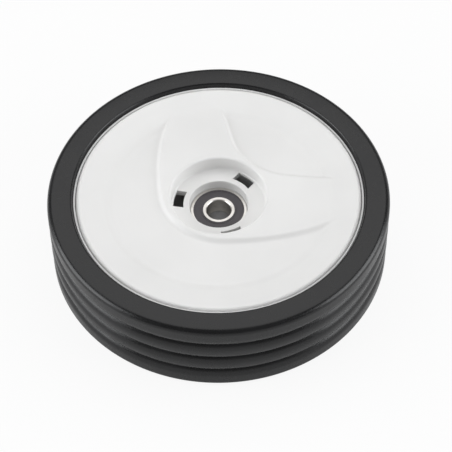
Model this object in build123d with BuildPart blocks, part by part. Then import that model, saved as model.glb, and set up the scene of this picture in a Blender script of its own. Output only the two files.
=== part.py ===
from build123d import *

import os
from math import acos, atan2, degrees

os.makedirs("parts", exist_ok=True)

# Lawn mower wheel: a rubber tyre stretched over a ribbed plastic wheel body, a face cover that
# snaps into the body, and two sealed ball bearings with a spacer tube between them.
# Millimetres. The wheel's axis is Z, its face looks up, and the origin is the wheel's centre.
# Heights are measured from the wheel's middle plane and rise towards the face.

# Fits
cover_gap = 0.3
tyre_gap = 0.15
press_gap = 0.02
running_gap = 0.05
cage_gap = 0.1

# Tyre
tyre_radius = 103.5
tyre_width = 54.0
tyre_thickness = 15.75
crown_drop = 1.0
groove_pitch = 12.6
groove_depth = 2.0
groove_mouth = 5.0
groove_rounding = 0.8
shoulder_groove_inset = 2.8
shoulder_rounding = 1.8
bead_rounding = 0.3
sidewall_lead = 1.05
sidewall_rounding = 1.4
tyre_rib_width = 18.0
tyre_rib_depth = 1.85

# Wheel body
body_recess = 2.75
band_wall = 3.3
bed_wall = 3.05
lip_wall = 1.25
lip_height = 6.15
rim_rounding = 0.4
web_thickness = 3.0
ring_wall = 2.5
hub_wall = 3.9
hub_end_lead = 0.5
hub_shoulder = 2.1
rib_count = 24
rib_thickness = 2.0
rib_recess = 2.5
rib_arch = 5.0
rib_root = 1.0
inner_rib_spread = 15.0

# Face cover
cover_wall = 2.2
cover_rounding = 2.0
dish_clearance = 0.2
dish_fall = 1.4
valley_inset = 20.7
valley_rounding = 7.0
slope_width = 4.0
slope_rise = 1.5
edge_rise = 1.25
collar_width = 7.6
collar_rise = 2.6
recess_radius = 29.0
recess_depth = 9.0
recess_draft = 0.6
recess_rounding = 1.5
recess_foot_rounding = 1.2
recess_wall = 2.1
floor_thickness = 1.8
bearing_depth = 5.5
bearing_reveal = 0.5
mouth_rounding = 0.6
sleeve_wall = 1.2
sleeve_gap = 0.2

# Raised blades of the face cover, drawn about their line of symmetry
blade_axis = 49.0
blade_back_radius = 43.6
blade_turn = 41.0
blade_inner_radius = 39.2
blade_reach = 2.0
blade_outer_angle = 64.8
blade_inner_angle = 37.7
blade_draft = 45.0
blade_fade = 0.05

# Windows for the clips of a hub cap
window_count = 3
window_angle = 49.0
window_outer_rim = 0.75
window_inner_rim = 2.25
window_width = 12.4
window_gap = 0.5

# Snap hooks of the face cover
hook_count = 6
hook_inset = 8.0
hook_thickness = 1.8
hook_width = 8.0
hook_barb = 1.2
hook_tip = 2.0
hook_gap = 0.2

# Ball bearings and the spacer tube
bearing_bore = 15.0
bearing_diameter = 35.0
bearing_width = 11.0
bearing_spacing = 10.0
ring_chamfer = 0.5
ball_count = 8
ball_diameter = 5.953
ball_pitch_radius = 12.5
race_depth = 1.05
seal_seat_radius = 15.55
seal_land_radius = 9.6
seal_thickness = 1.0
seal_recess = 0.3
seal_rim = 1.0
seal_relief = 0.25
cage_width = 2.6
cage_strip = 0.5
rivet_radius = 0.4
rivet_head_radius = 0.75
rivet_head_height = 0.3
spacer_wall = 2.0
spacer_gap = 0.1

# Heights that follow, from the face to the back
tyre_top = tyre_width / 2
body_top = tyre_top - body_recess
web_top = body_top - lip_height
web_under = web_top - web_thickness
edge_height = body_top + edge_rise
valley_height = web_top + dish_clearance + cover_wall
slope_height = valley_height + slope_rise
dish_height = valley_height + dish_fall
collar_height = dish_height + collar_rise
floor_height = collar_height - recess_depth
floor_under = floor_height - floor_thickness
bearing_top = floor_height - bearing_depth
spacer_top = bearing_top - bearing_width
spacer_under = spacer_top - bearing_spacing
hub_under = spacer_under - bearing_width - hub_end_lead
rib_under = rib_recess - body_top

# Radii that follow, from the tyre to the bore
band_radius = tyre_radius - tyre_thickness
band_inner = band_radius - band_wall
tyre_bore = band_radius + tyre_gap
tyre_rib_radius = tyre_bore - tyre_rib_depth
bed_radius = tyre_rib_radius - tyre_gap
bed_inner = bed_radius - bed_wall
lip_radius = band_radius - lip_wall
cover_radius = lip_radius - cover_gap
valley_radius = cover_radius - valley_inset
slope_radius = valley_radius + slope_width
collar_radius = recess_radius + collar_width
blade_radius = slope_radius + blade_reach
recess_foot = recess_radius - recess_draft
recess_outer = recess_radius + recess_wall
ring_inner = recess_outer + cover_gap
ring_outer = ring_inner + ring_wall
bearing_radius = bearing_diameter / 2
seat_radius = bearing_radius + press_gap
hub_outer = bearing_radius + hub_wall
hub_inner = bearing_radius - hub_shoulder
sleeve_bore = bearing_radius + bearing_reveal
sleeve_outer = sleeve_bore + sleeve_wall
sleeve_seat = sleeve_outer + sleeve_gap
bore_radius = bearing_bore / 2
window_inner = sleeve_outer + window_inner_rim
window_outer = recess_foot - window_outer_rim

# The radial ribs leave the windows free, and the hooks drop between two ribs
inner_rib_angle = window_angle + 180 / window_count
rib_angle = inner_rib_angle - inner_rib_spread
hook_angle = rib_angle + 180 / rib_count
hook_radius = cover_radius - hook_inset


def crown_radius(height):
    """Radius of the tread's crown at a height from the middle plane."""
    return tyre_radius - crown_drop * (height / tyre_top) ** 2


def face_height(radius):
    """Height of the face cover between its slope and its edge."""
    share = (radius - slope_radius) / (cover_radius - slope_radius)
    return slope_height + (edge_height - slope_height) * share


# Tyre: one rubber moulding with a crowned tread, five soft grooves round it, and a rib inside
# that sits in the bed of the wheel body
shoulder_groove = tyre_top - shoulder_groove_inset
groove_heights = (-shoulder_groove, -groove_pitch, 0, groove_pitch, shoulder_groove)
groove_section = (groove_mouth**2 / 4 + groove_depth**2) / (2 * groove_depth)
tyre_corner = crown_radius(tyre_top)
tyre_edge = tyre_bore + sidewall_lead
tyre_rib_half = tyre_rib_width / 2

with BuildPart() as tyre:
    with BuildSketch(Plane.XZ) as tyre_section:
        with BuildLine():
            ThreePointArc((tyre_corner, tyre_top), (tyre_radius, 0), (tyre_corner, -tyre_top))
            Polyline(
                (tyre_corner, -tyre_top),
                (tyre_edge, -tyre_top),
                (tyre_bore, -body_top),
                (tyre_bore, -tyre_rib_half),
                (tyre_rib_radius, tyre_rib_depth / 2 - tyre_rib_half),
                (tyre_rib_radius, tyre_rib_half - tyre_rib_depth / 2),
                (tyre_bore, tyre_rib_half),
                (tyre_bore, body_top),
                (tyre_edge, tyre_top),
                (tyre_corner, tyre_top),
            )
        make_face()
        for corner_radius, rounding in (
            (tyre_edge, sidewall_rounding),
            (tyre_corner, shoulder_rounding),
        ):
            for height in (tyre_top, -tyre_top):
                corners = tyre_section.vertices().sort_by_distance((corner_radius, height))
                fillet(corners[0], radius=rounding)
        for height in groove_heights:
            with Locations((crown_radius(height) - groove_depth + groove_section, height)):
                Circle(groove_section, mode=Mode.SUBTRACT)
        groove_corners = ShapeList()
        for height in groove_heights:
            groove_middle = (crown_radius(height), height)
            groove_corners += tyre_section.vertices().sort_by_distance(groove_middle)[:2]
        fillet(
            groove_corners.filter_by(lambda corner: abs(corner.Y) < shoulder_groove),
            radius=groove_rounding,
        )
        bead_height = shoulder_groove + groove_mouth / 2
        for height in (bead_height, -bead_height):
            corners = tyre_section.vertices().sort_by_distance((tyre_corner, height))
            fillet(corners[0], radius=bead_rounding)
    revolve(axis=Axis.Z)
tyre.part.label = "tyre"
export_step(tyre.part, "parts/tyre.step")

# Wheel body: one plastic moulding. A band carries the tyre, a web closes the face, a ring and a
# hub stand on the web's underside, and radial ribs brace them
bed_half = tyre_rib_half + tyre_gap
bed_step = band_inner - bed_inner
cup_under = floor_under - web_thickness

with BuildPart() as outer_rib:
    with BuildSketch(Plane.XZ):
        with BuildLine():
            rib_ends = (ring_outer - rib_root, band_inner + rib_root)
            ThreePointArc(
                (rib_ends[0], rib_under),
                (sum(rib_ends) / 2, rib_under + rib_arch),
                (rib_ends[1], rib_under),
            )
            Polyline(
                (rib_ends[1], rib_under),
                (rib_ends[1], web_under + rib_root),
                (rib_ends[0], web_under + rib_root),
                (rib_ends[0], rib_under),
            )
        make_face()
    extrude(amount=rib_thickness / 2, both=True)

with BuildPart() as inner_rib:
    with BuildSketch(Plane.XZ):
        with BuildLine():
            Polyline(
                (hub_outer - rib_root, rib_under),
                (ring_inner + rib_root, rib_under),
                (ring_inner + rib_root, cup_under + rib_root),
                (hub_outer - rib_root, cup_under + rib_root),
                close=True,
            )
        make_face()
    extrude(amount=rib_thickness / 2, both=True)

with BuildPart() as wheel_body:
    with BuildSketch(Plane.XZ) as body_section:
        with BuildLine():
            Polyline(
                (band_radius, body_top),
                (band_radius, bed_half),
                (bed_radius, bed_half),
                (bed_radius, -bed_half),
                (band_radius, -bed_half),
                (band_radius, -body_top),
                (band_inner, -body_top),
                (band_inner, -bed_half - bed_step),
                (bed_inner, -bed_half),
                (bed_inner, bed_half),
                (band_inner, bed_half + bed_step),
                (band_inner, web_under),
                (ring_outer, web_under),
                (ring_outer, rib_under),
                (ring_inner, rib_under),
                (ring_inner, cup_under),
                (hub_outer, cup_under),
                (hub_outer, hub_under),
                (seat_radius, hub_under),
                (seat_radius, spacer_under),
                (hub_inner, spacer_under),
                (hub_inner, spacer_top),
                (seat_radius, spacer_top),
                (seat_radius, bearing_top),
                (sleeve_seat, bearing_top),
                (sleeve_seat, floor_under),
                (ring_inner, floor_under),
                (ring_inner, web_top),
                (lip_radius, web_top),
                (lip_radius, body_top),
                close=True,
            )
        make_face()
        corner_rows = body_section.vertices().group_by(Axis.Y)
        fillet(corner_rows[0] + corner_rows[-1], radius=rim_rounding)
    revolve(axis=Axis.Z)
    with PolarLocations(0, rib_count, start_angle=rib_angle):
        add(outer_rib.part)
    for spread in (-inner_rib_spread, inner_rib_spread):
        with PolarLocations(0, window_count, start_angle=inner_rib_angle + spread):
            add(inner_rib.part)
    # Room under the windows, and slots for the cover's hooks
    with BuildSketch(Plane.XY.offset(floor_under)):
        with PolarLocations(ring_inner, window_count, start_angle=window_angle):
            Rectangle(2 * ring_inner, window_width + 2 * window_gap, align=(Align.MAX, Align.CENTER))
        Circle(ring_inner, mode=Mode.INTERSECT)
        Circle(hub_outer, mode=Mode.SUBTRACT)
    extrude(amount=-web_thickness, mode=Mode.SUBTRACT)
    with BuildSketch(Plane.XY.offset(web_top)):
        with PolarLocations(hook_radius - hook_barb / 2, hook_count, start_angle=hook_angle):
            Rectangle(hook_thickness + hook_barb + 2 * hook_gap, hook_width + 2 * hook_gap)
    extrude(amount=-web_thickness, mode=Mode.SUBTRACT)
wheel_body.part.label = "wheel_body"
export_step(wheel_body.part, "parts/wheel_body.step")

# Raised blades: two arms that leave a collar round the recess, cross the valley of the dish and
# run out on the slope beyond it. The outline is half of the blades' foot, and its drafted sides
# lean in as they rise
blade_base = valley_height - cover_wall / 2
blade_end = face_height(blade_radius) - blade_fade
blade_foot = blade_radius + 2 * cover_wall
blade_outer_tip = Vector(blade_foot, 0).rotate(Axis.Z, -blade_outer_angle)
blade_inner_tip = Vector(blade_foot, 0).rotate(Axis.Z, -blade_inner_angle)
blade_tip = Vector(blade_foot, 0).rotate(Axis.Z, -(blade_outer_angle + blade_inner_angle) / 2)
inner_centre = Vector(collar_radius + blade_inner_radius, 0)
inner_reach = blade_inner_tip - inner_centre
inner_turn = degrees(
    atan2(-inner_reach.Y, -inner_reach.X) - acos(blade_inner_radius / inner_reach.length)
)

with BuildPart() as blades:
    with BuildSketch(Plane.XY.offset(blade_base).rotated((0, 0, blade_axis))):
        with BuildLine():
            back_centre = (blade_back_radius - collar_radius, 0)
            back_edge = CenterArc(back_centre, blade_back_radius, 180, blade_turn)
            outer_edge = TangentArc(back_edge @ 1, blade_outer_tip, tangent=back_edge % 1)
            ThreePointArc(outer_edge @ 1, blade_tip, blade_inner_tip)
            inner_edge = CenterArc(inner_centre, blade_inner_radius, 180, inner_turn)
            Line(blade_inner_tip, inner_edge @ 1)
            mirror(about=Plane.XZ)
        make_face()
    extrude(amount=collar_height + cover_wall - blade_base, taper=blade_draft)
    with BuildSketch(Plane.XZ):
        with BuildLine():
            Polyline(
                (0, collar_height),
                (recess_radius, collar_height),
                (blade_radius, blade_end),
                (blade_radius, blade_end - cover_wall / 2),
                (slope_radius, slope_height - cover_wall / 2),
                (valley_radius, valley_height - cover_wall / 2),
                (collar_radius, dish_height - cover_wall / 2),
                (0, dish_height - cover_wall / 2),
                close=True,
            )
        make_face()
    revolve(axis=Axis.Z, mode=Mode.INTERSECT)

# Snap hook: a springy leg that drops through the web, with a barb that catches under it
hook_inner = hook_radius - hook_thickness / 2
hook_outer = hook_radius + hook_thickness / 2
hook_top = face_height(hook_radius) - cover_wall / 2
hook_catch = web_under - hook_gap

with BuildPart() as hook:
    with BuildSketch(Plane.XZ):
        with BuildLine():
            Polyline(
                (hook_inner, hook_top),
                (hook_inner, hook_catch - hook_tip),
                (hook_outer, hook_catch - hook_tip),
                (hook_outer + hook_barb, hook_catch - hook_gap),
                (hook_outer + hook_barb, hook_catch),
                (hook_outer, hook_catch),
                (hook_outer, hook_top),
                close=True,
            )
        make_face()
    extrude(amount=hook_width / 2, both=True)

# Face cover: one plastic moulding. A dish falls to a valley, rises over a slope to the rounded
# rim and turns down into a skirt; a recess in the middle has the windows and a sleeve down to
# the bearing
skirt_inner = cover_radius - cover_wall

with BuildPart() as face_cover:
    with BuildSketch(Plane.XZ) as cover_section:
        with BuildLine():
            Polyline(
                (sleeve_bore, bearing_top),
                (sleeve_bore, dish_height),
                (collar_radius, dish_height),
                (valley_radius, valley_height),
                (slope_radius, slope_height),
                (cover_radius, edge_height),
                (cover_radius, web_top),
                (skirt_inner, web_top),
                (skirt_inner, edge_height - cover_wall),
                (slope_radius, slope_height - cover_wall),
                (valley_radius, valley_height - cover_wall),
                (collar_radius, dish_height - cover_wall),
                (recess_outer, dish_height - cover_wall),
                (recess_outer, floor_under),
                (sleeve_outer, floor_under),
                (sleeve_outer, bearing_top),
                close=True,
            )
        make_face()
        corners = cover_section.vertices().sort_by_distance((cover_radius, edge_height))
        fillet(corners[0], radius=cover_rounding)
        for bend in ((valley_radius, valley_height), (slope_radius, slope_height)):
            corners = cover_section.vertices().sort_by_distance(bend)
            fillet(corners[0], radius=valley_rounding)
    revolve(axis=Axis.Z)
    add(blades.part)
    with BuildSketch(Plane.XZ):
        with BuildLine():
            Polyline(
                (0, floor_height),
                (recess_foot, floor_height),
                (recess_radius, collar_height),
                (recess_radius, collar_height + cover_wall),
                (0, collar_height + cover_wall),
                close=True,
            )
        make_face()
    revolve(axis=Axis.Z, mode=Mode.SUBTRACT)
    recess_edges = face_cover.edges().filter_by(GeomType.CIRCLE)
    fillet(
        recess_edges.filter_by(lambda edge: abs(edge.radius - recess_radius) < recess_draft / 2),
        radius=recess_rounding,
    )
    for ring_radius, rounding in (
        (recess_foot, recess_foot_rounding),
        (sleeve_bore, mouth_rounding),
    ):
        ring_edges = face_cover.edges().filter_by(GeomType.CIRCLE).filter_by_position(
            Axis.Z, floor_height - recess_draft / 2, floor_height + recess_draft / 2
        )
        fillet(
            ring_edges.filter_by(lambda edge: abs(edge.radius - ring_radius) < recess_draft / 4),
            radius=rounding,
        )
    with BuildSketch(Plane.XY.offset(floor_height + recess_foot_rounding)):
        with PolarLocations(0, window_count, start_angle=window_angle):
            Rectangle(window_outer, window_width, align=(Align.MIN, Align.CENTER))
        Circle(window_outer, mode=Mode.INTERSECT)
        Circle(window_inner, mode=Mode.SUBTRACT)
    extrude(amount=-floor_thickness - recess_foot_rounding, mode=Mode.SUBTRACT)
    with PolarLocations(0, hook_count, start_angle=hook_angle):
        add(hook.part)
face_cover.part.label = "face_cover"
export_step(face_cover.part, "parts/face_cover.step")

# Two ball bearings, each with two rings, balls in a riveted ribbon cage, and a seal on each side.
# The outboard side looks out of the wheel, and the inboard side looks at the other bearing
ball_radius = ball_diameter / 2
race_radius = ball_radius + running_gap
outer_race_shoulder = ball_pitch_radius + ball_radius - race_depth
inner_race_shoulder = ball_pitch_radius - ball_radius + race_depth
bearing_half = bearing_width / 2
seal_top = bearing_half - seal_recess
seal_seat = seal_top - seal_thickness
seal_inner = seal_land_radius + running_gap
seal_outer = seal_seat_radius - press_gap
cage_radius = ball_radius + cage_gap
cage_outer = ball_pitch_radius + cage_width / 2
cage_inner = ball_pitch_radius - cage_width / 2
rivet_angle = 180 / ball_count

for bearing, outboard, middle_height in (
    ("front_bearing", 1, bearing_top - bearing_half),
    ("rear_bearing", -1, spacer_under - bearing_half),
):
    middle = Plane.XY.offset(middle_height)
    section = Plane(origin=(0, 0, middle_height), x_dir=(1, 0, 0), z_dir=(0, -1, 0))

    with BuildPart() as outer_ring:
        with BuildSketch(section) as ring_section:
            with BuildLine():
                Polyline(
                    (bearing_radius, bearing_half),
                    (bearing_radius, -bearing_half),
                    (seal_seat_radius, -bearing_half),
                    (seal_seat_radius, -seal_seat),
                    (outer_race_shoulder, -seal_seat),
                    (outer_race_shoulder, seal_seat),
                    (seal_seat_radius, seal_seat),
                    (seal_seat_radius, bearing_half),
                    close=True,
                )
            make_face()
            chamfer(ring_section.vertices().group_by(Axis.X)[-1], length=ring_chamfer)
            with Locations((ball_pitch_radius, 0)):
                Circle(race_radius, mode=Mode.SUBTRACT)
        revolve(axis=Axis.Z)
    outer_ring.part.label = f"{bearing}_outer_ring"
    export_step(outer_ring.part, f"parts/{bearing}_outer_ring.step")

    with BuildPart() as inner_ring:
        with BuildSketch(section) as ring_section:
            with BuildLine():
                Polyline(
                    (bore_radius, bearing_half),
                    (seal_land_radius, bearing_half),
                    (seal_land_radius, seal_seat - seal_recess),
                    (inner_race_shoulder, seal_seat - seal_recess),
                    (inner_race_shoulder, seal_recess - seal_seat),
                    (seal_land_radius, seal_recess - seal_seat),
                    (seal_land_radius, -bearing_half),
                    (bore_radius, -bearing_half),
                    close=True,
                )
            make_face()
            chamfer(ring_section.vertices().group_by(Axis.X)[0], length=ring_chamfer)
            with Locations((ball_pitch_radius, 0)):
                Circle(race_radius, mode=Mode.SUBTRACT)
        revolve(axis=Axis.Z)
    inner_ring.part.label = f"{bearing}_inner_ring"
    export_step(inner_ring.part, f"parts/{bearing}_inner_ring.step")

    with BuildPart() as balls:
        with Locations(middle):
            with PolarLocations(ball_pitch_radius, ball_count):
                Sphere(ball_radius)
    balls.part.label = f"{bearing}_balls"
    export_step(balls.part, f"parts/{bearing}_balls.step")

    with BuildPart() as outboard_cage:
        with BuildSketch(middle):
            Circle(cage_outer)
            Circle(cage_inner, mode=Mode.SUBTRACT)
        extrude(amount=cage_strip)
        with Locations(middle):
            with PolarLocations(ball_pitch_radius, ball_count):
                Cylinder(cage_radius + cage_strip, 2 * cage_width, rotation=(0, 90, 0))
        with BuildSketch(middle):
            Circle(cage_outer)
            Circle(cage_inner, mode=Mode.SUBTRACT)
        extrude(amount=cage_radius + 2 * cage_strip, mode=Mode.INTERSECT)
        with Locations(middle):
            with PolarLocations(ball_pitch_radius, ball_count):
                Cylinder(cage_radius, 2 * cage_width, rotation=(0, 90, 0), mode=Mode.SUBTRACT)
            with PolarLocations(ball_pitch_radius, ball_count, start_angle=rivet_angle):
                Cylinder(rivet_radius + press_gap, 2 * cage_width, mode=Mode.SUBTRACT)
    with BuildPart() as inboard_cage:
        mirror(outboard_cage.part, about=middle)
    if outboard < 0:
        outboard_cage, inboard_cage = inboard_cage, outboard_cage
    for side, cage in (("outboard", outboard_cage), ("inboard", inboard_cage)):
        cage.part.label = f"{bearing}_{side}_cage"
        export_step(cage.part, f"parts/{bearing}_{side}_cage.step")

    with BuildPart() as rivets:
        with Locations(middle):
            with PolarLocations(ball_pitch_radius, ball_count, start_angle=rivet_angle):
                Cylinder(rivet_radius, 2 * cage_strip)
                with Locations((0, 0, cage_strip)):
                    Cylinder(
                        rivet_head_radius,
                        rivet_head_height,
                        align=(Align.CENTER, Align.CENTER, Align.MIN),
                    )
                with Locations((0, 0, -cage_strip)):
                    Cylinder(
                        rivet_head_radius,
                        rivet_head_height,
                        align=(Align.CENTER, Align.CENTER, Align.MAX),
                    )
    rivets.part.label = f"{bearing}_cage_rivets"
    export_step(rivets.part, f"parts/{bearing}_cage_rivets.step")

    with BuildPart() as upper_seal:
        with BuildSketch(section):
            with BuildLine():
                Polyline(
                    (seal_inner, seal_seat),
                    (seal_inner, seal_top),
                    (seal_inner + seal_rim, seal_top),
                    (seal_inner + seal_rim + seal_relief, seal_top - seal_relief),
                    (seal_outer - seal_rim - seal_relief, seal_top - seal_relief),
                    (seal_outer - seal_rim, seal_top),
                    (seal_outer, seal_top),
                    (seal_outer, seal_seat),
                    close=True,
                )
            make_face()
        revolve(axis=Axis.Z)
    with BuildPart() as lower_seal:
        mirror(upper_seal.part, about=middle)
    if outboard < 0:
        upper_seal, lower_seal = lower_seal, upper_seal
    for side, seal in (("outboard", upper_seal), ("inboard", lower_seal)):
        seal.part.label = f"{bearing}_{side}_seal"
        export_step(seal.part, f"parts/{bearing}_{side}_seal.step")

# Spacer tube: holds the inner rings apart, so that the axle bolt can be tightened on them
with BuildPart() as spacer_tube:
    with BuildSketch(Plane.XY.offset(spacer_under)):
        Circle(bore_radius + spacer_wall)
        Circle(bore_radius + spacer_gap, mode=Mode.SUBTRACT)
    extrude(amount=bearing_spacing)
spacer_tube.part.label = "spacer_tube"
export_step(spacer_tube.part, "parts/spacer_tube.step")
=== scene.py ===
"""Lawn mower wheel: finishes, fine mouldings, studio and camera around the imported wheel.

Every object is in metres in the row frame: the axle's line is Z, the wheel's face looks up and the
origin is the wheel's centre. The wheel's sizes are written in millimetres and turned into metres by
MM. The studio's sizes and the depths of grain and marks are written in metres.
"""

import logging
import math
from collections.abc import Sequence
from dataclasses import dataclass
from enum import Enum

import bmesh
import bpy
import numpy as np
from mathutils import Matrix, Vector


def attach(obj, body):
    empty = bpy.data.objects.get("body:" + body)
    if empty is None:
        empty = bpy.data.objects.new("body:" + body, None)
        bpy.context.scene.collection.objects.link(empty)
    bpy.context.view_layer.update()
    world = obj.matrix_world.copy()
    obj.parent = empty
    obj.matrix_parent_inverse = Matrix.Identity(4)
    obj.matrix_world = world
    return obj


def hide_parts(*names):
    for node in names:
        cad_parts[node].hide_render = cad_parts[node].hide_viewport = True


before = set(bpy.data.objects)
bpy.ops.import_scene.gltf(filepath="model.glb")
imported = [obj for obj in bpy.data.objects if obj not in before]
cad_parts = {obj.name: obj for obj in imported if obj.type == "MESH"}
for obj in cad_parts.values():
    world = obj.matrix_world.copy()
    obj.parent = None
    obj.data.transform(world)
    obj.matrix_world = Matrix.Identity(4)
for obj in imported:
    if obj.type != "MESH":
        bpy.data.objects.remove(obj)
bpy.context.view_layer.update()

log = logging.getLogger("mower_wheel")

MM = 0.001
# Points of an outline that are nearer than this, in millimetres, count as one.
SAME_POINT = 0.001
# Stands in for the squared length of a run that has no length, in square millimetres.
LEAST_RUN_SQUARED = 1e-12
# How far the coordinate for the direction round the axle goes to each side of 0, in metres.
DIRECTION_REACH = 0.02
IMAGE_SIZE = 452
SENSOR_WIDTH = 36.0

Point = tuple[float, float]
Place = tuple[float, float, float]
Colour = tuple[float, float, float]

WHITE: Colour = (1.0, 1.0, 1.0)
COOL_WHITE: Colour = (0.97, 0.985, 1.0)


class Value:
    """A number on a node's output, for shader maths written as Python expressions."""

    def __init__(self, nodes: "Nodes", socket: bpy.types.NodeSocket) -> None:
        """Wraps a socket.

        Args:
            nodes: The node tree that the socket's node is in.
            socket: The output socket that gives the number.
        """
        self.nodes = nodes
        self.socket = socket

    def _maths(self, operation: str, *operands: "Value | float") -> "Value":
        """Adds a Math node.

        Args:
            operation: What the node works out.
            operands: What it takes, in order.

        Returns:
            The node's result.
        """
        inputs = dict(enumerate(operands))
        node = self.nodes.node("ShaderNodeMath", {"operation": operation}, inputs)
        return Value(self.nodes, node.outputs[0])

    def __add__(self, other: "Value | float") -> "Value":
        """The sum of both."""
        return self._maths("ADD", self, other)

    def __radd__(self, other: float) -> "Value":
        """The sum of both."""
        return self._maths("ADD", other, self)

    def __sub__(self, other: "Value | float") -> "Value":
        """This less the other."""
        return self._maths("SUBTRACT", self, other)

    def __rsub__(self, other: float) -> "Value":
        """The other less this."""
        return self._maths("SUBTRACT", other, self)

    def __mul__(self, other: "Value | float") -> "Value":
        """The product of both."""
        return self._maths("MULTIPLY", self, other)

    def __rmul__(self, other: float) -> "Value":
        """The product of both."""
        return self._maths("MULTIPLY", other, self)

    def __truediv__(self, other: "Value | float") -> "Value":
        """This divided by the other."""
        return self._maths("DIVIDE", self, other)

    def __pow__(self, exponent: float) -> "Value":
        """This raised to a power."""
        return self._maths("POWER", self, exponent)

    def ramp(self, low: float, high: float) -> "Value":
        """A smooth rise from 0 at low to 1 at high.

        Args:
            low: Where the rise starts.
            high: Where it ends.

        Returns:
            The value after the rise, from 0 to 1.
        """
        node = self.nodes.node(
            "ShaderNodeMapRange",
            {"interpolation_type": "SMOOTHSTEP"},
            {"Value": self, "From Min": low, "From Max": high},
        )
        return Value(self.nodes, node.outputs["Result"])


class Nodes:
    """A node tree that starts empty, and the one method that adds nodes to it."""

    def __init__(self, tree: bpy.types.NodeTree) -> None:
        """Empties the tree.

        Args:
            tree: The node tree of a material or a world.
        """
        self.tree = tree
        self.tree.nodes.clear()

    def feed(self, socket: bpy.types.NodeSocket, given: object) -> None:
        """Sets or links one input.

        Args:
            socket: The input.
            given: A number, a vector, a colour without alpha, a Value or a socket.
        """
        if isinstance(given, Value):
            given = given.socket
        if isinstance(given, bpy.types.NodeSocket):
            self.tree.links.new(given, socket)
        elif socket.type == "RGBA":
            socket.default_value = (*given, 1.0)
        else:
            socket.default_value = given

    def node(
        self,
        kind: str,
        settings: dict[str, object] | None = None,
        inputs: dict[str | int, object] | None = None,
    ) -> bpy.types.Node:
        """Adds one node.

        Args:
            kind: The node's type name in Blender.
            settings: The node's own settings, which are set first.
            inputs: What each input gets, by its name or place.

        Returns:
            The node.
        """
        made = self.tree.nodes.new(kind)
        for name, setting in (settings or {}).items():
            setattr(made, name, setting)
        for key, given in (inputs or {}).items():
            self.feed(made.inputs[key], given)
        return made


@dataclass(frozen=True)
class Pattern:
    """A soft noise.

    Attributes:
        scale: Blotches to a metre.
        detail: How many finer layers are added.
        roughness: How strong the finer layers are.
        cut: The values that become 0 and 1, or None.
    """

    scale: float
    detail: float
    roughness: float
    cut: tuple[float, float] | None = None


class Shader(Nodes):
    """A material with one Principled surface, and the nodes that vary it."""

    def __init__(self, name: str) -> None:
        """Makes a material with a Principled surface.

        Args:
            name: The material's name.
        """
        self.material = bpy.data.materials.new(name)
        self.material.use_nodes = True
        super().__init__(self.material.node_tree)
        self.surface = self.node("ShaderNodeBsdfPrincipled")
        shading = self.surface.outputs["BSDF"]
        self.output = self.node("ShaderNodeOutputMaterial", inputs={"Surface": shading})

    def set(self, **sockets: object) -> None:
        """Sets or links inputs of the Principled surface.

        Args:
            sockets: Input names with underscores for spaces, and what each one gets.
        """
        for key, given in sockets.items():
            self.feed(self.surface.inputs[key.replace("_", " ")], given)

    def place(self) -> bpy.types.NodeSocket:
        """The surface point's place in the row frame."""
        return self.node("ShaderNodeTexCoord").outputs["Object"]

    def axis_values(self) -> tuple[Value, Value, Value]:
        """The surface point's x, y and z in the row frame."""
        split = self.node("ShaderNodeSeparateXYZ", inputs={"Vector": self.place()})
        return tuple(Value(self, output) for output in split.outputs)

    def turned_place(self, stretch: float) -> bpy.types.NodeSocket:
        """Coordinates that run round the axle, for marks that follow the turning.

        Args:
            stretch: How much longer the marks are round the axle than across it.

        Returns:
            A vector of the radius, the height and the direction round the axle.
        """
        x, y, z = self.axis_values()
        radius = (x * x + y * y) ** 0.5
        shrink = 1.0 / stretch
        flat = self.node(
            "ShaderNodeCombineXYZ",
            inputs={"X": radius, "Y": z, "Z": (x / radius) * (DIRECTION_REACH * shrink)},
        )
        return flat.outputs["Vector"]

    def noise(self, pattern: Pattern, where: bpy.types.NodeSocket | None = None) -> Value:
        """Soft noise from 0 to 1.

        Args:
            pattern: The noise's sizes.
            where: The coordinates, or None for the place in the row frame.

        Returns:
            The noise, cut off where its pattern says so.
        """
        node = self.node(
            "ShaderNodeTexNoise",
            inputs={
                "Vector": where or self.place(),
                "Scale": pattern.scale,
                "Detail": pattern.detail,
                "Roughness": pattern.roughness,
            },
        )
        noise = Value(self, node.outputs["Fac"])
        return noise.ramp(*pattern.cut) if pattern.cut else noise

    def mix(self, share: Value, low: Colour, high: Colour) -> bpy.types.NodeSocket:
        """Mixes two colours.

        Args:
            share: The share of the second colour, from 0 to 1.
            low: The first colour.
            high: The second colour.

        Returns:
            The socket of the mixed colour.
        """
        inputs = {0: share, 6: low, 7: high}
        return self.node("ShaderNodeMix", {"data_type": "RGBA"}, inputs).outputs[2]

    def bump(self, height: Value, depth: float) -> None:
        """Roughens the surface's normals.

        Args:
            height: The relief, from 0 to 1.
            depth: The relief's depth, in metres.
        """
        node = self.node("ShaderNodeBump", inputs={"Height": height, "Distance": depth})
        self.set(Normal=node.outputs["Normal"])


class Finish(Enum):
    """The record's material slots."""

    TYRE = "tyre_rubber"
    COVER = "cover_plastic"
    BODY = "body_plastic"
    RING = "ring_steel"
    BALL = "ball_steel"
    CAGE = "cage_steel"
    SPACER = "spacer_steel"
    SEAL = "seal_rubber"


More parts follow.
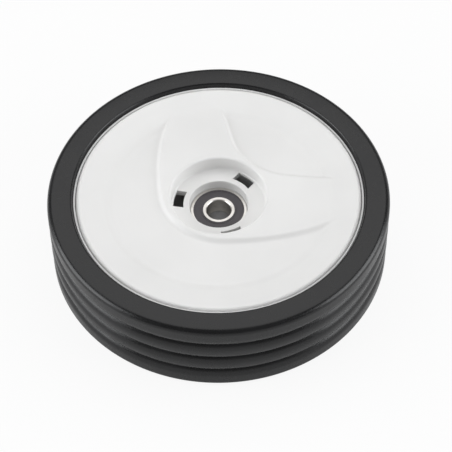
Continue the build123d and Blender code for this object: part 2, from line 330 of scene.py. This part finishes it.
@dataclass(frozen=True)
class MouldedRubber:
    """Black rubber as it leaves the mould: fine grain, a bloom in blotches and a soft sheen."""

    name: str
    dark: Colour
    bloom: Colour
    roughness: float
    specular: float = 0.5
    blotches: Pattern = Pattern(38.0, 4.0, 0.6, (0.35, 0.75))
    scuffs: Pattern = Pattern(420.0, 3.0, 0.7, (0.5, 0.8))
    blotch_bloom: float = 0.7
    scuff_bloom: float = 0.3
    blotch_dulling: float = 0.08
    scuff_polish: float = 0.05
    grain: Pattern = Pattern(2600.0, 2.0, 0.6)
    grain_depth: float = 0.00003

    def material(self) -> bpy.types.Material:
        """Makes the material.

        Returns:
            The material.
        """
        shader = Shader(self.name)
        blotches = shader.noise(self.blotches)
        scuffs = shader.noise(self.scuffs)
        bloom = blotches * self.blotch_bloom + scuffs * self.scuff_bloom
        dulled = self.roughness + self.blotch_dulling * blotches
        shader.set(
            Base_Color=shader.mix(bloom, self.dark, self.bloom),
            Roughness=dulled - self.scuff_polish * scuffs,
            Specular_IOR_Level=self.specular,
        )
        shader.bump(shader.noise(self.grain), self.grain_depth)
        return shader.material


@dataclass(frozen=True)
class MouldedPlastic:
    """Pale moulded plastic: a very fine spark texture and a faint change of tone."""

    name: str
    pale: Colour
    shade: Colour
    roughness: float = 0.42
    specular: float = 0.45
    tone: Pattern = Pattern(16.0, 3.0, 0.55, (0.3, 0.8))
    tone_dulling: float = 0.05
    grain: Pattern = Pattern(3200.0, 2.0, 0.6)
    grain_depth: float = 0.000012

    def material(self) -> bpy.types.Material:
        """Makes the material.

        Returns:
            The material.
        """
        shader = Shader(self.name)
        tone = shader.noise(self.tone)
        shader.set(
            Base_Color=shader.mix(tone, self.pale, self.shade),
            Roughness=self.roughness + self.tone_dulling * tone,
            Specular_IOR_Level=self.specular,
        )
        shader.bump(shader.noise(self.grain), self.grain_depth)
        return shader.material


@dataclass(frozen=True)
class GroundSteel:
    """Bearing steel with fine grinding marks round the axle."""

    name: str
    colour: Colour
    dull: Colour
    roughness: float = 0.25
    marks: Pattern = Pattern(5200.0, 3.0, 0.65)
    mark_stretch: float = 12.0
    mark_share: float = 0.3
    mark_dulling: float = 0.14
    mark_depth: float = 0.000006
    worn: Pattern = Pattern(240.0, 3.0, 0.6, (0.45, 0.8))
    worn_share: float = 0.6
    worn_dulling: float = 0.08

    def material(self) -> bpy.types.Material:
        """Makes the material.

        Returns:
            The material.
        """
        shader = Shader(self.name)
        marks = shader.noise(self.marks, shader.turned_place(self.mark_stretch))
        worn = shader.noise(self.worn)
        dullness = worn * self.worn_share + marks * self.mark_share
        shader.set(
            Base_Color=shader.mix(dullness, self.colour, self.dull),
            Metallic=1.0,
            Roughness=self.roughness + self.mark_dulling * marks + self.worn_dulling * worn,
        )
        shader.bump(marks, self.mark_depth)
        return shader.material


class Profile:
    """A closed outline in the plane of the axle, as points of radius and height in millimetres."""

    def __init__(self) -> None:
        """Starts with no points."""
        self.points: list[Point] = []

    def add(self, radius: float, height: float) -> None:
        """Adds one point, in millimetres, unless the outline is already there."""
        if not self.points or math.dist(self.points[-1], (radius, height)) > SAME_POINT:
            self.points.append((radius, height))

    def arc(self, centre: Point, radius: float, start: float, end: float, steps: int) -> None:
        """Adds the points of an arc.

        Args:
            centre: The arc's centre, in millimetres.
            radius: Its radius, in millimetres.
            start: The angle of its first point, in degrees from the outward direction.
            end: The angle of its last point.
            steps: How many steps it has.
        """
        for step in range(steps + 1):
            angle = math.radians(start + (end - start) * step / steps)
            self.add(
                centre[0] + radius * math.cos(angle),
                centre[1] + radius * math.sin(angle),
            )

    def corner(self, corner: Point, towards: Point, rounding: float, steps: int) -> None:
        """Adds a corner rounded by an arc, between the last point and the next one.

        Args:
            corner: Where the two straight runs meet, in millimetres.
            towards: A point on the run that follows.
            rounding: The arc's radius, in millimetres.
            steps: How many steps the arc has.
        """
        here = Vector(corner)
        before = (Vector(self.points[-1]) - here).normalized()
        after = (Vector(towards) - here).normalized()
        half = before.angle(after) / 2
        reach = rounding / math.tan(half)
        centre = here + (before + after).normalized() * (rounding / math.sin(half))
        first = here + before * reach - centre
        last = here + after * reach - centre
        turn = first.angle_signed(last)
        for step in range(steps + 1):
            point = centre + Matrix.Rotation(-turn * step / steps, 2) @ first
            self.add(point.x, point.y)


def moulding(name: str, vertices: np.ndarray, faces: Sequence[Sequence[int]]) -> bpy.types.Object:
    """Makes an object from a mesh in metres.

    Args:
        name: The piece's name.
        vertices: The vertices, three numbers each, in metres.
        faces: The faces, each a run of vertex numbers.

    Returns:
        The object, at the frame's origin.
    """
    mesh = bpy.data.meshes.new(name)
    mesh.from_pydata(vertices.tolist(), [], faces)
    mesh.validate()
    piece = bpy.data.objects.new(name, mesh)
    bpy.context.scene.collection.objects.link(piece)
    return piece


def turned(points: Sequence[Point], segments: int) -> tuple[np.ndarray, list[tuple[int, ...]]]:
    """Turns a closed outline round the axle.

    Args:
        points: The outline's radii and heights in millimetres, counter-clockwise.
        segments: How many steps the turn has.

    Returns:
        The vertices in metres, outline after outline, and the faces.
    """
    outline = np.array(points) * MM
    angles = np.arange(segments) * (2 * math.pi / segments)
    radii, heights = outline[:, 0], outline[:, 1]
    vertices = np.empty((segments, len(points), 3))
    vertices[:, :, 0] = np.cos(angles)[:, None] * radii
    vertices[:, :, 1] = np.sin(angles)[:, None] * radii
    vertices[:, :, 2] = heights
    count = len(points)
    faces = []
    for turn in range(segments):
        here, there = turn * count, (turn + 1) % segments * count
        for row in range(count):
            following = (row + 1) % count
            faces.append((here + row, there + row, there + following, here + following))
    return vertices.reshape(-1, 3), faces


def smooth(piece: bpy.types.Object, sharp_angle: float) -> None:
    """Shades a piece smooth, apart from its sharp edges.

    Args:
        piece: The piece.
        sharp_angle: The angle between faces from which an edge stays sharp, in degrees.
    """
    piece.data.shade_smooth()
    piece.data.set_sharp_from_angle(angle=math.radians(sharp_angle))


def wear(piece: bpy.types.Object, material: bpy.types.Material) -> None:
    """Gives a piece one material in all its slots.

    Args:
        piece: The piece.
        material: The material it gets.
    """
    if not piece.data.materials:
        piece.data.materials.append(material)
    for place in range(len(piece.data.materials)):
        piece.data.materials[place] = material
    for piece_slot in piece.material_slots:
        piece_slot.material = material
    log.info("%s wears %s", piece.name, material.name)


@dataclass
class Tyre:
    """The rubber tyre: tread of convex ribs, and a rib inside that sits in the body's bed."""

    outer_radius: float = 103.44
    half_width: float = 27.0
    crown_drop: float = 0.15
    bore_radius: float = 87.9
    bore_height: float = 24.25
    edge_radius: float = 88.95
    edge_rounding: float = 1.4
    shoulder_rounding: float = 3.9
    groove_pitch: float = 12.6
    groove_depth: float = 2.4
    tread_rib_fullness: float = 2.7
    tread_rib_steps: int = 10
    rib_radius: float = 86.05
    rib_half_width: float = 9.0
    rib_slope: float = 0.925
    tread_half_ribs: int = 3
    shoulder_steps: int = 12
    edge_steps: int = 6
    sharp_angle: float = 60.0
    segments: int = 400

    def tread(self, height: float, depth: float = 0.0) -> Point:
        """A point of the tread.

        Args:
            height: Its height, in millimetres.
            depth: How deep it lies under the crown.

        Returns:
            Its radius and height.
        """
        crown = self.outer_radius - self.crown_drop * (height / self.half_width) ** 2
        return (crown - depth, height)

    def half_outline(self) -> list[Point]:
        """Draws the upper half of the section.

        Returns:
            Points from the middle groove over the shoulder to the middle of the inner rib.
        """
        half_rib = self.groove_pitch / 2
        profile = Profile()
        # A place counts half ribs from the middle: even ones are grooves, odd ones are crests.
        for step in range(self.tread_half_ribs * self.tread_rib_steps + 1):
            place = step / self.tread_rib_steps
            share = abs(place % 2 - 1)
            depth = self.groove_depth * share**self.tread_rib_fullness
            profile.add(*self.tread(place * half_rib, depth))
        shoulder = self.tread(self.half_width)
        edge = (self.edge_radius, self.half_width)
        bore = (self.bore_radius, self.bore_height)
        profile.corner(shoulder, edge, self.shoulder_rounding, self.shoulder_steps)
        profile.corner(edge, bore, self.edge_rounding, self.edge_steps)
        profile.add(*bore)
        profile.add(self.bore_radius, self.rib_half_width)
        profile.add(self.rib_radius, self.rib_half_width - self.rib_slope)
        return profile.points

    def build(self) -> bpy.types.Object:
        """Makes the tyre's mesh.

        Returns:
            The tyre.
        """
        upper = self.half_outline()
        lower = [(radius, -height) for radius, height in reversed(upper[1:])]
        vertices, faces = turned(upper + lower, self.segments)
        piece = moulding("tyre_moulding", vertices, faces)
        smooth(piece, self.sharp_angle)
        return piece


class BladeOutline:
    """The foot of the raised blades, as an outline round the axle in millimetres."""

    def __init__(self, cover: "FaceCover") -> None:
        """Works out the outline from the cover's sizes.

        Args:
            cover: The face cover that the blades stand on.
        """
        self.cover = cover
        half = Profile()
        self.add_back(half)
        self.add_inner(half)
        whole = half.points + [(x, -y) for x, y in reversed(half.points[1:-1])]
        turn_back = Matrix.Rotation(math.radians(cover.blade_axis), 2)
        self.corners = np.array([turn_back @ Vector(point) for point in whole])

    def add_back(self, half: Profile) -> None:
        """Adds the arc behind the recess, and the arc that leaves it for the outer tip.

        Args:
            half: The half outline that gets the points.
        """
        cover = self.cover
        turn = math.radians(cover.blade_turn)
        middle = (cover.blade_back_radius - cover.collar_radius, 0)
        last_angle = 180 + cover.blade_turn
        half.arc(middle, cover.blade_back_radius, 180, last_angle, cover.blade_arc_steps)
        start = Vector(half.points[-1])
        heading = Vector((math.sin(turn), -math.cos(turn)))
        tip = cover.blade_tip(cover.blade_outer_angle)
        chord = tip - start
        side = Vector((-heading.y, heading.x))
        centre = start + side * (chord.length_squared / (2 * chord.dot(side)))
        opening = 2 * math.atan2(chord.dot(side), chord.dot(heading))
        for step in range(1, cover.blade_side_steps + 1):
            turned_by = opening * step / cover.blade_side_steps
            spoke = Matrix.Rotation(turned_by, 2) @ (start - centre)
            half.add(centre.x + spoke.x, centre.y + spoke.y)
        onwards = tip + (Matrix.Rotation(opening, 2) @ heading) * cover.blade_overrun
        half.add(onwards.x, onwards.y)

    def add_inner(self, half: Profile) -> None:
        """Adds the straight run from the inner tip, and the arc between the two blades.

        Args:
            half: The half outline that gets the points.
        """
        cover = self.cover
        tip = cover.blade_tip(cover.blade_inner_angle)
        radius = cover.blade_inner_radius
        centre = Vector((cover.collar_radius + radius, 0))
        reach = tip - centre
        turn = math.atan2(-reach.y, -reach.x) - math.acos(radius / reach.length)
        arc = Profile()
        arc.arc(centre, radius, 180 + math.degrees(turn), 180, cover.blade_arc_steps)
        onwards = tip + (tip - Vector(arc.points[0])).normalized() * cover.blade_overrun
        half.add(onwards.x, onwards.y)
        half.add(tip.x, tip.y)
        for x, y in arc.points:
            half.add(x, y)

    def depth(self, points: np.ndarray) -> np.ndarray:
        """How far inside the outline points lie.

        Args:
            points: The points' x and y, in millimetres.

        Returns:
            Their distance to the outline, below 0 outside it.
        """
        nearest = np.full(len(points), np.inf)
        inside = np.zeros(len(points), bool)
        x, y = points[:, 0], points[:, 1]
        for start, end in zip(self.corners, np.roll(self.corners, -1, axis=0)):
            run = end - start
            length_squared = max(run @ run, LEAST_RUN_SQUARED)
            share = np.clip(((points - start) @ run) / length_squared, 0, 1)
            gap = points - start - share[:, None] * run
            nearest = np.minimum(nearest, np.hypot(gap[:, 0], gap[:, 1]))
            crosses = (start[1] > y) != (end[1] > y)
            if run[1]:
                inside ^= crosses & (x < start[0] + (y - start[1]) * run[0] / run[1])
        return np.where(inside, nearest, -nearest)


def soft_least(first: np.ndarray, second: np.ndarray, blend: float) -> np.ndarray:
    """The lesser of two heights, with the crossing rounded off.

    Args:
        first: The first heights.
        second: The second heights.
        blend: The difference in height below which they blend.

    Returns:
        The blended heights.
    """
    share = np.clip(blend - np.abs(first - second), 0, None) / blend
    return np.minimum(first, second) - share**2 * blend / 4


def soft_ramp(values: np.ndarray, blend: float) -> np.ndarray:
    """Zero below 0 and the value itself above it, with the bend rounded off.

    Args:
        values: The values.
        blend: How far to each side of 0 the bend reaches.

    Returns:
        The values after the bend.
    """
    near = np.clip(values + blend, 0, 2 * blend)
    return near**2 / (4 * blend) + np.clip(values - blend, 0, None)


def prisms(
    name: str, outline: Sequence[Vector], shift: Vector, first_angle: float, copies: int
) -> bpy.types.Object:
    """Makes one object of equal prisms, evenly spread round the axle.

    Args:
        name: The object's name.
        outline: The corners of each prism's first end, in millimetres.
        shift: The way from its first end to its last, in millimetres.
        first_angle: How far the first prism is turned about the axle, in degrees.
        copies: How many prisms there are.

    Returns:
        The object, with its faces turned outwards.
    """
    count = len(outline)
    ends = (Vector((0, 0, 0)), shift)
    vertices: list[Vector] = []
    faces: list[list[int]] = []
    for copy in range(copies):
        turn = Matrix.Rotation(math.radians(first_angle + 360 / copies * copy), 3, "Z")
        base = len(vertices)
        vertices += [turn @ (corner + end) * MM for end in ends for corner in outline]
        faces.append([base + place for place in range(count)])
        faces.append([base + count + place for place in reversed(range(count))])
        for place in range(count):
            following = (place + 1) % count
            ring = (place, count + place, count + following, following)
            faces.append([base + corner for corner in ring])
    piece = moulding(name, np.array(vertices), faces)
    worked = bmesh.new()
    worked.from_mesh(piece.data)
    bmesh.ops.recalc_face_normals(worked, faces=worked.faces)
    worked.to_mesh(piece.data)
    worked.free()
    return piece


def combine(piece: bpy.types.Object, other: bpy.types.Object, operation: str) -> None:
    """Joins another solid to a piece or cuts it away, and removes the other.

    Args:
        piece: The piece that is changed.
        other: The solid that is joined or cut away.
        operation: UNION or DIFFERENCE.
    """
    modifier = piece.modifiers.new("combine", "BOOLEAN")
    modifier.solver = "EXACT"
    modifier.operation = operation
    modifier.object = other
    graph = bpy.context.evaluated_depsgraph_get()
    made = bpy.data.meshes.new_from_object(piece.evaluated_get(graph))
    piece.modifiers.clear()
    old = piece.data
    piece.data = made
    bpy.data.meshes.remove(old)
    bpy.data.objects.remove(other)


@dataclass
class FaceCover:
    """The pale face cover: dish, valley, raised blades, recess with windows, skirt and hooks."""

    cover_radius: float = 86.2
    edge_height: float = 25.5
    edge_rounding: float = 2.0
    wall: float = 2.2
    skirt_foot: float = 18.1
    slope_radius: float = 69.5
    slope_height: float = 22.0
    slope_blend: float = 0.9
    valley_radius: float = 65.5
    valley_height: float = 20.5
    valley_blend: float = 1.6
    collar_radius: float = 36.6
    dish_height: float = 21.9
    collar_height: float = 24.5
    recess_radius: float = 29.0
    recess_foot: float = 28.4
    recess_outer: float = 31.1
    rim_rounding: float = 1.5
    foot_rounding: float = 1.2
    floor_height: float = 15.5
    floor_under: float = 13.7
    pocket_radius: float = 18.0
    pocket_rounding: float = 0.6
    sleeve_radius: float = 19.2
    sleeve_foot: float = 10.0
    blade_axis: float = 49.0
    blade_base: float = 19.4
    blade_end_radius: float = 71.5
    blade_end_height: float = 22.37
    blade_foot: float = 75.9
    blade_back_radius: float = 43.6
    blade_turn: float = 41.0
    blade_outer_angle: float = 64.8
    blade_inner_angle: float = 37.7
    blade_inner_radius: float = 39.2
    blade_overrun: float = 25.0
    blade_edge_blend: float = 0.7
    blade_foot_blend: float = 0.9
    window_axis: float = 49.0
    window_count: int = 3
    window_inner: float = 21.45
    window_outer: float = 27.65
    window_half_width: float = 6.2
    window_clearance: float = 3.0
    hook_axis: float = 101.5
    hook_count: int = 6
    hook_inner: float = 77.3
    hook_outer: float = 79.1
    hook_top: float = 22.7
    hook_catch: float = 14.9
    hook_foot: float = 12.9
    hook_barb: float = 1.2
    hook_lead: float = 0.2
    hook_half_width: float = 4.0
    end_blend: float = 0.1
    row_step: float = 0.6
    first_row_gap: float = 0.3
    last_row_gap: float = 0.02
    edge_steps: int = 8
    rim_steps: int = 8
    foot_steps: int = 7
    pocket_steps: int = 5
    window_steps: int = 10
    blade_arc_steps: int = 24
    blade_side_steps: int = 30
    sharp_angle: float = 35.0
    segments: int = 512

    def blade_tip(self, angle: float) -> Vector:
        """Where a side of a blade ends, before the blades are turned into place.

        Args:
            angle: The end's angle from the blades' axis, in degrees.

        Returns:
            The end's x and y, in millimetres.
        """
        return Matrix.Rotation(math.radians(-angle), 2) @ Vector((self.blade_foot, 0))

    def dish(self, radii: np.ndarray) -> np.ndarray:
        """The face's height without the blades.

        Args:
            radii: Distances from the axle, in millimetres.

        Returns:
            The heights in millimetres.
        """
        bends = (
            (self.collar_radius, self.dish_height, self.end_blend),
            (self.valley_radius, self.valley_height, self.valley_blend),
            (self.slope_radius, self.slope_height, self.slope_blend),
            (self.cover_radius, self.edge_height, self.end_blend),
        )
        heights = np.full(radii.shape, self.dish_height)
        slope = 0.0
        for here, there in zip(bends, bends[1:]):
            steeper = (there[1] - here[1]) / (there[0] - here[0])
            heights += (steeper - slope) * soft_ramp(radii - here[0], here[2])
            slope = steeper
        return heights

    def top(self, points: np.ndarray) -> np.ndarray:
        """The face's height between the recess and the rounded edge.

        Args:
            points: The points' x and y, in millimetres.

        Returns:
            The heights in millimetres.
        """
        radii = np.hypot(points[:, 0], points[:, 1])
        dish = self.dish(radii)
        along = (radii - self.recess_radius) / (self.blade_end_radius - self.recess_radius)
        level = self.collar_height + (self.blade_end_height - self.collar_height) * along
        drafted = self.blade_base + BladeOutline(self).depth(points)
        blades = soft_least(level, drafted, self.blade_edge_blend)
        return -soft_least(-dish, -blades, self.blade_foot_blend)

    def outline(self) -> tuple[list[Point], int, int]:
        """Draws the section of the cover.

        Returns:
            The section's outline, the number of its first point on the face, and the number after
            the last one.
        """
        profile = Profile()
        edge = (self.cover_radius, self.edge_height)
        slope = (self.slope_radius, self.slope_height)
        profile.add(self.cover_radius, self.skirt_foot)
        profile.corner(edge, slope, self.edge_rounding, self.edge_steps)
        first = len(profile.points)
        outermost = profile.points[-1][0] - self.first_row_gap
        innermost = self.recess_radius + self.rim_rounding
        # The heights of these points are set later, by the shape of the face.
        for radius in np.arange(outermost, innermost, -self.row_step):
            profile.add(float(radius), self.collar_height)
        last = len(profile.points)
        profile.add(innermost - self.last_row_gap, self.collar_height)
        rim = (self.recess_radius, self.collar_height)
        foot = (self.recess_foot, self.floor_height)
        pocket = (self.pocket_radius, self.floor_height)
        sleeve = (self.pocket_radius, self.sleeve_foot)
        profile.corner(rim, foot, self.rim_rounding, self.rim_steps)
        profile.corner(foot, pocket, self.foot_rounding, self.foot_steps)
        profile.corner(pocket, sleeve, self.pocket_rounding, self.pocket_steps)
        under_face = (
            (self.recess_outer, self.dish_height),
            (self.collar_radius, self.dish_height),
            (self.valley_radius, self.valley_height),
            slope,
            (self.cover_radius - self.wall, self.edge_height),
        )
        for radius, height in (
            sleeve,
            (self.sleeve_radius, self.sleeve_foot),
            (self.sleeve_radius, self.floor_under),
            (self.recess_outer, self.floor_under),
            *((radius, height - self.wall) for radius, height in under_face),
            (self.cover_radius - self.wall, self.skirt_foot),
        ):
            profile.add(radius, height)
        return profile.points, first, last

    def windows(self) -> bpy.types.Object:
        """Makes the solids that the windows are cut with.

        Returns:
            One object with a prism for each window.
        """
        plan = Profile()
        for radius, side in ((self.window_inner, 1), (self.window_outer, -1)):
            half_angle = side * math.degrees(math.asin(self.window_half_width / radius))
            plan.arc((0, 0), radius, half_angle, -half_angle, self.window_steps)
        low, high = self.sleeve_foot, self.floor_height + self.window_clearance
        outline = [Vector((x, y, low)) for x, y in plan.points]
        way_up = Vector((0, 0, high - low))
        return prisms("windows", outline, way_up, self.window_axis, self.window_count)

    def hooks(self) -> bpy.types.Object:
        """Makes the snap hooks.

        Returns:
            One object with a prism for each hook.
        """
        barb = self.hook_outer + self.hook_barb
        section = (
            (self.hook_inner, self.hook_foot),
            (self.hook_outer, self.hook_foot),
            (barb, self.hook_catch - self.hook_lead),
            (barb, self.hook_catch),
            (self.hook_outer, self.hook_catch),
            (self.hook_outer, self.hook_top),
            (self.hook_inner, self.hook_top),
        )
        side = self.hook_half_width
        outline = [Vector((radius, -side, height)) for radius, height in section]
        way_across = Vector((0, 2 * side, 0))
        return prisms("hooks", outline, way_across, self.hook_axis, self.hook_count)

    def build(self) -> bpy.types.Object:
        """Makes the cover's mesh, with its windows and hooks.

        Returns:
            The cover.
        """
        points, first, last = self.outline()
        vertices, faces = turned(points, self.segments)
        grid = vertices.reshape(self.segments, len(points), 3)
        flat = grid[:, first:last, :2].reshape(-1, 2) / MM
        grid[:, first:last, 2] = self.top(flat).reshape(self.segments, -1) * MM
        piece = moulding("face_cover_moulding", vertices, faces)
        combine(piece, self.windows(), "DIFFERENCE")
        combine(piece, self.hooks(), "UNION")
        smooth(piece, self.sharp_angle)
        return piece


@dataclass
class Bearing:
    """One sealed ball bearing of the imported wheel, dressed piece by piece."""

    name: str

    def dress(self, finishes: dict[Finish, bpy.types.Material]) -> None:
        """Gives each piece of the bearing its finish.

        Args:
            finishes: The materials by slot.
        """
        ends = {
            "outer_ring": Finish.RING,
            "inner_ring": Finish.RING,
            "balls": Finish.BALL,
            "outboard_cage": Finish.CAGE,
            "inboard_cage": Finish.CAGE,
            "cage_rivets": Finish.CAGE,
            "outboard_seal": Finish.SEAL,
            "inboard_seal": Finish.SEAL,
        }
        for end, finish in ends.items():
            wear(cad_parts[f"{self.name}_{end}"], finishes[finish])


@dataclass(frozen=True)
class Lamp:
    """A soft rectangular lamp that looks at the wheel."""

    name: str
    place: Place
    size: tuple[float, float]
    power: float
    colour: Colour = WHITE
    aim: Place = (0.0, 0.0, 0.0)

    def build(self) -> None:
        """Makes the lamp."""
        data = bpy.data.lights.new(self.name, "AREA")
        data.shape = "RECTANGLE"
        data.size, data.size_y = self.size
        data.energy = self.power
        data.color = self.colour
        lamp = bpy.data.objects.new(self.name, data)
        bpy.context.scene.collection.objects.link(lamp)
        lamp.location = self.place
        lamp.visible_camera = False
        gaze = Vector(self.aim) - Vector(self.place)
        lamp.rotation_mode = "QUATERNION"
        lamp.rotation_quaternion = gaze.to_track_quat("-Z", "Y")


@dataclass
class Studio:
    """The camera at the photograph's angle, soft lamps, a white world and a pale floor."""

    distance: float = 1.05
    elevation: float = 50.68
    pixels_to_focus: float = 1744.0
    roll: float = -0.93
    aim: Place = (0.00452, 0.0, -0.0069)
    shift: float = 0.5
    clip: tuple[float, float] = (0.05, 20.0)
    face_height: float = 0.027
    floor_height: float = -0.027
    floor_size: float = 6.0
    floor_colour: Colour = (0.8, 0.8, 0.8)
    floor_roughness: float = 0.9
    floor_specular: float = 0.1
    floor_white_to_camera: float = 0.9
    floor_white_to_gloss: float = 0.25
    sky: float = 0.2
    lamps: tuple[Lamp, ...] = (
        Lamp("overhead_lamp", (0.0, 0.55, 1.35), size=(2.2, 1.6), power=14.4),
        Lamp("left_lamp", (-1.05, -0.15, 0.36), size=(1.0, 0.75), power=10.3, colour=COOL_WHITE),
        Lamp("right_lamp", (1.05, -0.15, 0.36), size=(1.0, 0.75), power=10.3, colour=COOL_WHITE),
        Lamp("front_card", (0.0, -1.7, 0.12), size=(3.0, 0.3), power=1.8),
    )

    def camera(self) -> None:
        """Makes the camera."""
        data = bpy.data.cameras.new("photo_camera")
        data.sensor_width = SENSOR_WIDTH
        data.lens = SENSOR_WIDTH * self.pixels_to_focus / IMAGE_SIZE
        data.clip_start, data.clip_end = self.clip
        data.dof.use_dof = False
        data.shift_x, data.shift_y = -self.shift / IMAGE_SIZE, self.shift / IMAGE_SIZE
        camera = bpy.data.objects.new("photo_camera", data)
        bpy.context.scene.collection.objects.link(camera)
        tilt = math.radians(self.elevation)
        height = self.distance * math.sin(tilt) + self.face_height
        place = Vector((0.0, -self.distance * math.cos(tilt), height))
        ahead = (Vector(self.aim) - place).normalized()
        right = ahead.cross(Vector((0, 0, 1))).normalized()
        up = right.cross(ahead)
        roll = math.radians(self.roll)
        rolled_right = right * math.cos(roll) + up * math.sin(roll)
        rolled_up = up * math.cos(roll) - right * math.sin(roll)
        turn = Matrix((rolled_right, rolled_up, -ahead)).transposed()
        camera.matrix_world = Matrix.Translation(place) @ turn.to_4x4()
        bpy.context.scene.camera = camera

    def world(self) -> None:
        """Makes a world that is white to the camera and soft grey light to the wheel."""
        world = bpy.data.worlds.new("studio_world")
        world.use_nodes = True
        nodes = Nodes(world.node_tree)
        camera_ray = nodes.node("ShaderNodeLightPath").outputs["Is Camera Ray"]
        light, seen = (
            nodes.node("ShaderNodeBackground", inputs={"Color": WHITE, "Strength": strength})
            for strength in (self.sky, 1.0)
        )
        mix = nodes.node(
            "ShaderNodeMixShader",
            inputs={0: camera_ray, 1: light.outputs[0], 2: seen.outputs[0]},
        )
        nodes.node("ShaderNodeOutputWorld", inputs={"Surface": mix.outputs[0]})
        bpy.context.scene.world = world

    def floor(self) -> None:
        """Makes the pale floor, nearly white to the camera, on which a faint shadow stays."""
        half = self.floor_size / 2
        corners = [(-half, -half), (half, -half), (half, half), (-half, half)]
        mesh = bpy.data.meshes.new("studio_floor")
        mesh.from_pydata([(x, y, self.floor_height) for x, y in corners], [], [(0, 1, 2, 3)])
        floor = bpy.data.objects.new("studio_floor", mesh)
        bpy.context.scene.collection.objects.link(floor)
        shader = Shader("studio_floor")
        shader.set(
            Base_Color=self.floor_colour,
            Roughness=self.floor_roughness,
            Specular_IOR_Level=self.floor_specular,
        )
        rays = shader.node("ShaderNodeLightPath")
        to_camera = Value(shader, rays.outputs["Is Camera Ray"]) * self.floor_white_to_camera
        to_gloss = Value(shader, rays.outputs["Is Glossy Ray"]) * self.floor_white_to_gloss
        white = shader.node("ShaderNodeEmission", inputs={"Color": WHITE, "Strength": 1.0})
        shading = shader.surface.outputs["BSDF"]
        mix = shader.node(
            "ShaderNodeMixShader",
            inputs={0: to_camera + to_gloss, 1: shading, 2: white.outputs[0]},
        )
        shader.feed(shader.output.inputs["Surface"], mix.outputs[0])
        mesh.materials.append(shader.material)

    def build(self) -> None:
        """Makes the camera, the world, the floor and the lamps."""
        self.camera()
        self.world()
        self.floor()
        for lamp in self.lamps:
            lamp.build()
        bpy.context.scene.view_settings.view_transform = "Standard"


def make_finishes() -> dict[Finish, bpy.types.Material]:
    """Makes the material of each slot.

    Returns:
        The materials by slot.
    """
    recipes = {
        Finish.TYRE: MouldedRubber(
            "tyre_rubber",
            (0.0055, 0.0055, 0.006),
            (0.009, 0.009, 0.010),
            roughness=0.25,
            specular=0.4,
        ),
        Finish.COVER: MouldedPlastic("cover_plastic", (0.80, 0.795, 0.785), (0.76, 0.755, 0.745)),
        Finish.BODY: MouldedPlastic("body_plastic", (0.74, 0.74, 0.735), (0.69, 0.69, 0.685)),
        Finish.RING: GroundSteel("ring_steel", (0.70, 0.68, 0.65), (0.48, 0.46, 0.43)),
        Finish.BALL: GroundSteel(
            "ball_steel", (0.72, 0.72, 0.73), (0.66, 0.66, 0.67), roughness=0.08
        ),
        Finish.CAGE: GroundSteel(
            "cage_steel", (0.55, 0.54, 0.52), (0.42, 0.41, 0.39), roughness=0.35
        ),
        Finish.SPACER: GroundSteel(
            "spacer_steel", (0.55, 0.55, 0.56), (0.35, 0.35, 0.35), roughness=0.32
        ),
        Finish.SEAL: MouldedRubber(
            "seal_rubber", (0.068, 0.062, 0.068), (0.09, 0.082, 0.088), roughness=0.6
        ),
    }
    return {finish: recipe.material() for finish, recipe in recipes.items()}


def main() -> None:
    """Builds the studio and the wheel's looks."""
    logging.basicConfig(level=logging.INFO, format="%(message)s")
    Studio().build()
    log.info("studio is ready")
    finishes = make_finishes()
    tyre = Tyre().build()
    wear(tyre, finishes[Finish.TYRE])
    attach(tyre, "wheel")
    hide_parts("tyre")
    log.info("tyre has %d faces", len(tyre.data.polygons))
    cover = FaceCover().build()
    wear(cover, finishes[Finish.COVER])
    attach(cover, "wheel")
    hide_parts("face_cover")
    log.info("face cover has %d faces", len(cover.data.polygons))
    wear(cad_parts["wheel_body"], finishes[Finish.BODY])
    wear(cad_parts["spacer_tube"], finishes[Finish.SPACER])
    for name in ("front_bearing", "rear_bearing"):
        Bearing(name).dress(finishes)


if __name__ == "__main__":
    main()
